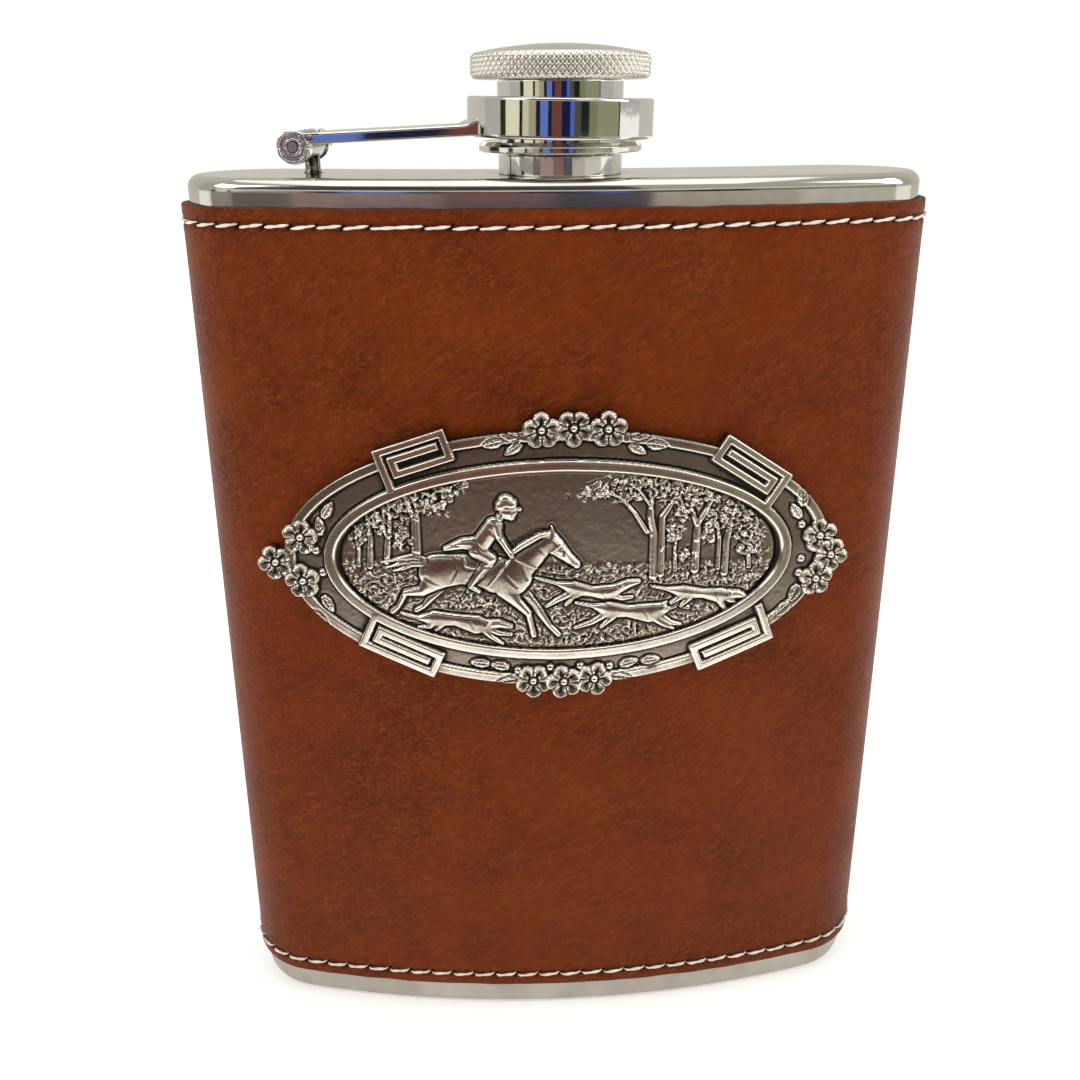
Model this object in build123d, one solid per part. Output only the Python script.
from build123d import *
import os
from math import atan2, cos, degrees, hypot, pi, sin

# A leather-wrapped hip flask with a captive screw cap on a hinged arm and a cast plaque on its front.
# Units are millimetres.  The origin is on the base, under the neck's axis.  +Z is up, the convex front
# faces -Y and the hollow back, which lies against the hip, faces +Y.

# ---- Driving dimensions -------------------------------------------------------------------------
WIDTH = 94.0                 # across the leather, end to end
THICKNESS = 22.5             # through the leather at mid-width
END_SET_BACK = 4.5           # how far the round ends lie behind the middle of the section
END_RADIUS = 11.0            # of the leather round each end
STEEL_HEIGHT = 119.7         # base to top plate

LEATHER = 0.9                # thickness of the hide
GLUE = 0.1                   # contact cement under the hide
WALL = 0.6                   # steel sheet
LEATHER_LOW = 4.6            # lower and upper edges of the hide
LEATHER_HIGH = 116.5
BACK_SEAM = 0.3              # gap of the butt joint in the hide, at mid-back
SKIRT = 7.0                  # depth of the drawn end plates, hidden by the hide beyond its edges
TOP_EDGE_RADIUS = 1.5
BASE_EDGE_RADIUS = 1.8

STITCH_PITCH = 3.24
STITCH_LENGTH = 2.6
STITCH_WIDTH = 0.6
FIRST_HOLE = 1.12            # from the seam to the first hole, anticlockwise from above
STITCH_MARGIN = 2.1          # stitch line to the edge of the hide

NECK_BORE = 5.2              # radius
NECK_COLLAR = 7.5            # radius
NECK_COLLAR_HEIGHT = 2.3
NECK_THREAD = 6.4            # radius over the thread's crests
NECK_HEIGHT = 8.0            # above the top plate
NECK_SPIGOT = 6.7            # radius of the part that passes through the top plate
NECK_SPIGOT_DEPTH = 1.6

HINGE_X = -31.2              # hinge centre; it stands on the curved middle line of the top plate
HINGE_Y = 3.2
HINGE_RISE = 3.3             # hinge axis above the top plate
CHEEK_RADIUS = 2.0
CHEEK_TOP = 1.6              # the cheeks are cut flat this far above the axis
CHEEK_THICKNESS = 2.0
HINGE_LENGTH = 12.6          # over both cheeks
HINGE_GAP = 0.1              # side play between a cheek and the barrel
BARREL_RADIUS = 1.75
PIN_RADIUS = 0.6
PIN_PLAY = 0.05
STEM_RADIUS = 0.95
FOOT_RADIUS = 1.15
FOOT_HEIGHT = 0.2
STEM_SHIFT = (0.5, 1.2)      # stem's offset from the barrel's middle, along the arm and the axis

ARM_WIDTH = 12.4
ARM_THICKNESS = 1.3
ARM_START_RISE = 0.2         # strap's underside above the hinge axis, at the hinge
ARM_END_RISE = 1.15          # and where it meets the ring
ARM_FLARE = 0.6              # weld flare on the top of the strap at the ring

RING_OUTER = 11.2            # radius
RING_INNER = 8.1             # radius
RING_LOW = 4.15              # above the top plate
RING_HEIGHT = 4.55
RING_TILT = 1.0              # degrees; the ring droops towards its free side
RING_EDGE = 0.35

SHANK_RADIUS = 7.55
CAP_BORE = 6.95              # radius over the crests of the cap's own thread
COLLAR_RADIUS = 9.85
CAP_LOW = 2.6                # underside of the cap's collar, above the top plate
COLLAR_HEIGHT = 1.2
COLLAR_BEVEL = 0.5
HEAD_LOW = 10.65
HEAD_HEIGHT = 2.95           # of the knurled band
HEAD_RADIUS = 10.75
HEAD_DOME = 1.05
HEAD_EDGE = 0.55
GASKET_THICKNESS = 1.1
GASKET_PLAY = 0.05

PLAQUE_X = -0.6              # centre of the plaque on the flask's front
PLAQUE_Z = 73.2
FRAME_HALF = (35.2, 17.4)    # half-axes of the frame's outer oval
BEAD_HALF = (30.2, 13.6)     # outer edge of the raised oval inside the channel
MEDALLION_HALF = (28.4, 12.2)
PLAQUE_GLUE = 0.1
FRAME_DEPTH = 1.0            # floor of the frame's channel, above the leather
RIM_DEPTH = 1.5
RIM_WIDTH = 1.2
BEAD_DEPTH = 1.7
GROUND_DEPTH = 0.9
MEDALLION_GAP = 0.05
FRET_DEPTH = 1.7
FLOWER_RADIUS = 2.35
FLOWER_DEPTH = 2.0
FIGURE_DEPTH = 1.5           # horse and rider, above the leather
# fret tabs: place on the plaque, angle of the long side in degrees, length and width
FRETS = [
    (-18.1, 14.2, 19, 9.4, 4.2),
    (24.1, 11.6, -34, 10.6, 3.9),
    (-20.7, -12.4, -24, 10.7, 3.7),
    (22.7, -12.6, 20.5, 11.0, 3.9),
]
# flower heads, in four clusters of three round the frame
FLOWERS = [
    (-2.4, 17.5), (1.5, 17.8), (5.7, 17.5),
    (-3.6, -16.9), (0.4, -17.1), (4.4, -16.8),
    (-33.2, 2.8), (-36.9, -0.9), (-33.3, -3.4),
    (34.2, 1.6), (36.0, -1.4), (34.0, -4.6),
]
# outline of the raised area under the horse and its rider
FIGURE = [
    (-17.8, -2.5), (-16.5, 0.8), (-12.0, 1.4), (-9.5, 5.5), (-7.6, 8.6), (-5.4, 7.8), (-5.8, 2.0),
    (-1.6, 4.6), (2.2, -0.4), (1.2, -1.6), (-2.6, -0.6), (-4.4, -3.8), (-9.0, -4.2), (-14.0, -3.2),
]

# ---- Derived dimensions -------------------------------------------------------------------------
END_X = WIDTH / 2 - END_RADIUS
REACH_FRONT = END_SET_BACK + THICKNESS / 2
REACH_BACK = THICKNESS / 2 - END_SET_BACK
FRONT_RADIUS = (END_X**2 + REACH_FRONT**2 - END_RADIUS**2) / (2 * (REACH_FRONT - END_RADIUS))
BACK_RADIUS = (END_X**2 + REACH_BACK**2 - END_RADIUS**2) / (2 * (END_RADIUS - REACH_BACK))
STEEL = LEATHER + GLUE       # inset of the steel's outer surface
STITCH_ROWS = {
    "top_stitching": LEATHER_HIGH - STITCH_MARGIN,
    "bottom_stitching": LEATHER_LOW + STITCH_MARGIN,
}
HINGE_Z = STEEL_HEIGHT + HINGE_RISE
ARM_LENGTH = hypot(HINGE_X, HINGE_Y)
ARM_YAW = degrees(atan2(-HINGE_Y, -HINGE_X))
BARREL_LENGTH = HINGE_LENGTH - 2 * (CHEEK_THICKNESS + HINGE_GAP)


# ---- The flask's section ------------------------------------------------------------------------
def section_arcs(inset):
    """Centre, radius and start and end angle of the section's four tangent arcs, anticlockwise."""
    front_centre = (0, FRONT_RADIUS - THICKNESS / 2)
    back_centre = (0, BACK_RADIUS + THICKNESS / 2)
    front_angle = atan2(END_X, front_centre[1] - END_SET_BACK)
    back_angle = atan2(END_X, back_centre[1] - END_SET_BACK)
    end_radius = END_RADIUS - inset
    front = (front_centre, FRONT_RADIUS - inset, -pi / 2 - front_angle, -pi / 2 + front_angle)
    right = ((END_X, END_SET_BACK), end_radius, -pi / 2 + front_angle, pi / 2 + back_angle)
    back = (back_centre, BACK_RADIUS + inset, -pi / 2 + back_angle, -pi / 2 - back_angle)
    left = ((-END_X, END_SET_BACK), end_radius, pi / 2 - back_angle, 3 * pi / 2 - front_angle)
    return [front, right, back, left]


def on_arc(arc, share):
    """The point a share of the way along one of the section's arcs."""
    (x, y), radius, start, end = arc
    angle = start + (end - start) * share
    return (x + radius * cos(angle), y + radius * sin(angle))


def section(inset):
    """Kidney-shaped face, inset from the leather's outer surface."""
    arcs = section_arcs(inset)
    edges = [ThreePointArc(on_arc(arc, 0), on_arc(arc, 0.5), on_arc(arc, 1)) for arc in arcs]
    return Face(Wire(edges))


def prism(inset, low, high):
    """The section carried straight up from one height to another."""
    return Solid.extrude(section(inset), Vector(0, 0, high - low)).moved(Location((0, 0, low)))


def shell(outer_inset, inner_inset, low, high):
    """Tube of the section between two insets."""
    return prism(outer_inset, low, high) - prism(inner_inset, low, high)


# ---- Steel body ---------------------------------------------------------------------------------
def make_body_sleeve():
    return shell(STEEL, STEEL + WALL, SKIRT, STEEL_HEIGHT - SKIRT)


def drawn_plate(edge_radius):
    """Open-topped tray: a flat end with a rolled edge and a skirt, base on z = 0."""
    outer = prism(STEEL, 0, SKIRT)
    outer = fillet(outer.edges().group_by(Axis.Z)[0], edge_radius)
    inner = prism(STEEL + WALL, WALL, SKIRT)
    inner = fillet(inner.edges().group_by(Axis.Z)[0], edge_radius - WALL)
    return outer - inner


def make_top_plate():
    tray = mirror(drawn_plate(TOP_EDGE_RADIUS), Plane.XY).moved(Location((0, 0, STEEL_HEIGHT)))
    return tray - Pos(0, 0, STEEL_HEIGHT) * Cylinder(NECK_SPIGOT, 4 * WALL)


def turned(profile):
    """Solid turned about the neck's axis from (radius, height above the top plate) points."""
    face = make_face(Polyline([(r, 0, STEEL_HEIGHT + z) for r, z in profile], close=True))
    return revolve(face, Axis.Z)


def make_neck():
    lead = 0.4
    return turned([
        (NECK_BORE, -NECK_SPIGOT_DEPTH),
        (NECK_SPIGOT, -NECK_SPIGOT_DEPTH),
        (NECK_SPIGOT, 0),
        (NECK_COLLAR, 0),
        (NECK_COLLAR, NECK_COLLAR_HEIGHT),
        (NECK_THREAD, NECK_COLLAR_HEIGHT),
        (NECK_THREAD, NECK_HEIGHT - lead),
        (NECK_THREAD - lead, NECK_HEIGHT),
        (NECK_BORE, NECK_HEIGHT),
    ])


# ---- Hinge and arm, drawn about the hinge centre with the arm along +X ---------------------------
def along_hinge(radius, low, high):
    """Cylinder on the hinge axis from one distance along it to another."""
    middle = (low + high) / 2
    return Pos(0, middle, 0) * Rot(X=90) * Cylinder(radius, high - low)


def on_flask(shape):
    """Moves a shape from the arm's own frame to its place on the flask."""
    return Location((HINGE_X, HINGE_Y, HINGE_Z), (0, 0, ARM_YAW)) * shape


def make_hinge_post():
    barrel = along_hinge(BARREL_RADIUS, -BARREL_LENGTH / 2, BARREL_LENGTH / 2)
    stem = Pos(STEM_SHIFT[0], STEM_SHIFT[1], -HINGE_RISE / 2) * Cylinder(STEM_RADIUS, HINGE_RISE)
    foot_height = -HINGE_RISE + FOOT_HEIGHT / 2
    foot = Pos(STEM_SHIFT[0], STEM_SHIFT[1], foot_height) * Cylinder(FOOT_RADIUS, FOOT_HEIGHT)
    bore = along_hinge(PIN_RADIUS + PIN_PLAY, -BARREL_LENGTH, BARREL_LENGTH)
    return on_flask(barrel + stem + foot - bore)


def make_hinge_pin():
    return on_flask(along_hinge(PIN_RADIUS, -HINGE_LENGTH / 2, HINGE_LENGTH / 2))


def hinge_cheek(side):
    """One ear of the clevis: a dished disc with a split line across its outer face."""
    outer_face = side * HINGE_LENGTH / 2
    inner_face = side * (HINGE_LENGTH / 2 - CHEEK_THICKNESS)
    dish_depth = 0.5
    dish_floor = outer_face - side * dish_depth
    dish = (1.6, 0.95)
    slot = 0.25
    low, high = sorted((outer_face, inner_face))
    cheek = along_hinge(CHEEK_RADIUS, low, high)
    low, high = sorted((outer_face, dish_floor))
    cheek -= along_hinge(dish[0], low, high) - along_hinge(dish[1], low, high)
    cheek -= Pos(0, outer_face, 0) * Box(3 * CHEEK_RADIUS, 2 * dish_depth, slot)
    cheek -= Pos(0, (outer_face + inner_face) / 2, CHEEK_TOP + 1) * Box(5, 3 * CHEEK_THICKNESS, 2)
    return cheek


def make_cap_arm():
    ring_side = ARM_LENGTH - RING_OUTER
    end_top = ARM_END_RISE + ARM_THICKNESS
    start_top = ARM_START_RISE + ARM_THICKNESS
    flare = 1.4
    sunk = 2.2
    lower = [(0.2, ARM_START_RISE), (ring_side + sunk, ARM_END_RISE)]
    upper = [
        (ring_side + sunk, end_top + ARM_FLARE),
        (ring_side + flare / 2, end_top + ARM_FLARE),
        (ring_side - flare / 4, end_top + ARM_FLARE / 3),
        (ring_side - 2 * flare, end_top - 0.05),
        (0.2, start_top),
    ]
    outline = Polyline([(x, 0, z) for x, z in lower + upper], close=True)
    strap = extrude(make_face(outline), ARM_WIDTH / 2, both=True)
    strap -= along_hinge(BARREL_RADIUS + 0.25, -ARM_WIDTH, ARM_WIDTH)
    gusset_x = CHEEK_RADIUS + 0.9
    for side in (-1, 1):
        ear_y = side * (HINGE_LENGTH - CHEEK_THICKNESS) / 2
        rise = ARM_START_RISE + ARM_THICKNESS / 2
        strap += Pos(gusset_x / 2, ear_y, rise) * Box(gusset_x, CHEEK_THICKNESS, ARM_THICKNESS - 0.2)
        strap += hinge_cheek(side)
    strap -= along_hinge(PIN_RADIUS, -HINGE_LENGTH, HINGE_LENGTH)
    return on_flask(strap) - in_ring_place(Cylinder(RING_OUTER, 20))


def in_ring_place(shape):
    """Moves a shape drawn about the ring's middle to the ring's place and tilt on the flask."""
    middle = STEEL_HEIGHT + RING_LOW + RING_HEIGHT / 2
    return Pos(0, 0, middle) * Rot(Y=RING_TILT) * shape


def make_cap_ring():
    blank = fillet(Cylinder(RING_OUTER, RING_HEIGHT).edges(), RING_EDGE)
    return in_ring_place(blank - Cylinder(RING_INNER, 2 * RING_HEIGHT))


# ---- Screw cap ----------------------------------------------------------------------------------
def make_cap_knob():
    ceiling = NECK_HEIGHT + GASKET_PLAY + GASKET_THICKNESS
    head_top = HEAD_LOW + HEAD_HEIGHT
    knob = turned([
        (CAP_BORE, CAP_LOW),
        (SHANK_RADIUS, CAP_LOW),
        (SHANK_RADIUS, HEAD_LOW),
        (HEAD_RADIUS - HEAD_EDGE, HEAD_LOW),
        (HEAD_RADIUS, HEAD_LOW + HEAD_EDGE),
        (HEAD_RADIUS, head_top - HEAD_EDGE),
        (HEAD_RADIUS - HEAD_EDGE, head_top),
        (0, head_top),
        (0, ceiling),
        (CAP_BORE, ceiling),
    ])
    rim = HEAD_RADIUS - HEAD_EDGE
    dome_radius = (rim**2 + HEAD_DOME**2) / (2 * HEAD_DOME)
    ball = Pos(0, 0, STEEL_HEIGHT + head_top + HEAD_DOME - dome_radius) * Sphere(dome_radius)
    above = Pos(0, 0, STEEL_HEIGHT + head_top + HEAD_DOME) * Cylinder(rim, 2 * HEAD_DOME)
    return knob + (ball & above)


def make_cap_collar():
    top = CAP_LOW + COLLAR_HEIGHT
    lip = 0.15
    return turned([
        (SHANK_RADIUS, CAP_LOW),
        (COLLAR_RADIUS - lip, CAP_LOW),
        (COLLAR_RADIUS, CAP_LOW + lip),
        (COLLAR_RADIUS, top - COLLAR_BEVEL),
        (COLLAR_RADIUS - COLLAR_BEVEL, top),
        (SHANK_RADIUS, top),
    ])


def make_cap_gasket():
    low = NECK_HEIGHT + GASKET_PLAY
    middle = STEEL_HEIGHT + low + GASKET_THICKNESS / 2
    return Pos(0, 0, middle) * Cylinder(CAP_BORE, GASKET_THICKNESS)


# ---- Leather and thread -------------------------------------------------------------------------
def make_leather_wrap():
    hide = shell(0, LEATHER, LEATHER_LOW, LEATHER_HIGH)
    middle = (LEATHER_LOW + LEATHER_HIGH) / 2
    seam = Pos(0, THICKNESS / 2, middle) * Box(BACK_SEAM, THICKNESS / 2, LEATHER_HIGH)
    return hide - seam


def make_leather_glue():
    inward = 0.5
    return shell(LEATHER, STEEL, LEATHER_LOW + inward, LEATHER_HIGH - inward)


def stitch_places():
    """Point and direction of each stitch round the hide, one pitch apart; none crosses the seam."""
    lift = 0.02
    arcs = section_arcs(-STITCH_WIDTH / 2 - lift)
    lengths = [abs(radius * (end - start)) for _, radius, start, end in arcs]
    girth = sum(lengths)
    count = round(girth / STITCH_PITCH)
    start = FIRST_HOLE - (lengths[1] + lengths[2] / 2)
    places = []
    for index in range(count - 1):
        along = start + (index + 0.5) * girth / count
        along %= girth
        arc = 0
        while along > lengths[arc]:
            along -= lengths[arc]
            arc += 1
        _, _, first, last = arcs[arc]
        angle = first + (last - first) * along / lengths[arc]
        places.append((on_arc(arcs[arc], along / lengths[arc]), degrees(angle) + 90))
    return places


def make_stitching(height):
    stitches = []
    for (x, y), turn in stitch_places():
        bar = Rot(Z=turn) * Box(STITCH_LENGTH, STITCH_WIDTH, STITCH_WIDTH)
        stitches.append(Pos(x, y, height) * bar)
    return Compound(children=stitches)


# ---- Plaque -------------------------------------------------------------------------------------
def facing(sketch):
    """Column that a flat shape on the plaque cuts straight through the flask's front."""
    centre = Plane.XZ * Pos(PLAQUE_X, PLAQUE_Z)
    return extrude(centre * sketch, 2 * THICKNESS)


def relief(sketch, depth, start=PLAQUE_GLUE):
    """A flat shape wrapped on the flask's front, from one height above the leather to another."""
    margin = 26
    skin = shell(-depth, -start, PLAQUE_Z - margin, PLAQUE_Z + margin)
    return skin & facing(sketch)


def oval(half, inset=0.0):
    return Ellipse(half[0] - inset, half[1] - inset)


def make_plaque_frame():
    opening = oval(MEDALLION_HALF, -MEDALLION_GAP)
    outline = oval(FRAME_HALF)
    bosses = Sketch()
    for x, z, turn, length, width in FRETS:
        bosses += Pos(x, z) * Rot(Z=turn) * Rectangle(length, width)
    blooms = Sketch()
    for x, z in FLOWERS:
        blooms += Pos(x, z) * Circle(FLOWER_RADIUS)
    frame = relief(outline + bosses + blooms - opening, FRAME_DEPTH)
    frame += relief(oval(BEAD_HALF) - opening, BEAD_DEPTH)
    frame += relief(outline - oval(FRAME_HALF, RIM_WIDTH), RIM_DEPTH)
    frame += relief(bosses - opening, FRET_DEPTH)
    frame += relief(blooms - opening, FLOWER_DEPTH)
    return frame


def make_scene_medallion():
    figure = make_face(Polyline(FIGURE, close=True))
    return relief(oval(MEDALLION_HALF), GROUND_DEPTH) + relief(figure, FIGURE_DEPTH)


def make_plaque_glue():
    return relief(oval(FRAME_HALF, 2 * RIM_WIDTH), PLAQUE_GLUE, 0.0)


# ---- Every piece, one file each -----------------------------------------------------------------
def main():
    os.makedirs("parts", exist_ok=True)
    pieces = {
        "body_sleeve": make_body_sleeve(),
        "top_plate": make_top_plate(),
        "bottom_plate": drawn_plate(BASE_EDGE_RADIUS),
        "neck": make_neck(),
        "hinge_post": make_hinge_post(),
        "hinge_pin": make_hinge_pin(),
        "cap_arm": make_cap_arm(),
        "cap_ring": make_cap_ring(),
        "cap_knob": make_cap_knob(),
        "cap_collar": make_cap_collar(),
        "cap_gasket": make_cap_gasket(),
        "leather_wrap": make_leather_wrap(),
        "leather_glue": make_leather_glue(),
        "plaque_frame": make_plaque_frame(),
        "scene_medallion": make_scene_medallion(),
        "plaque_glue": make_plaque_glue(),
    }
    for name, height in STITCH_ROWS.items():
        pieces[name] = make_stitching(height)
    for name, shape in pieces.items():
        export_step(shape, f"parts/{name}.step")


main()
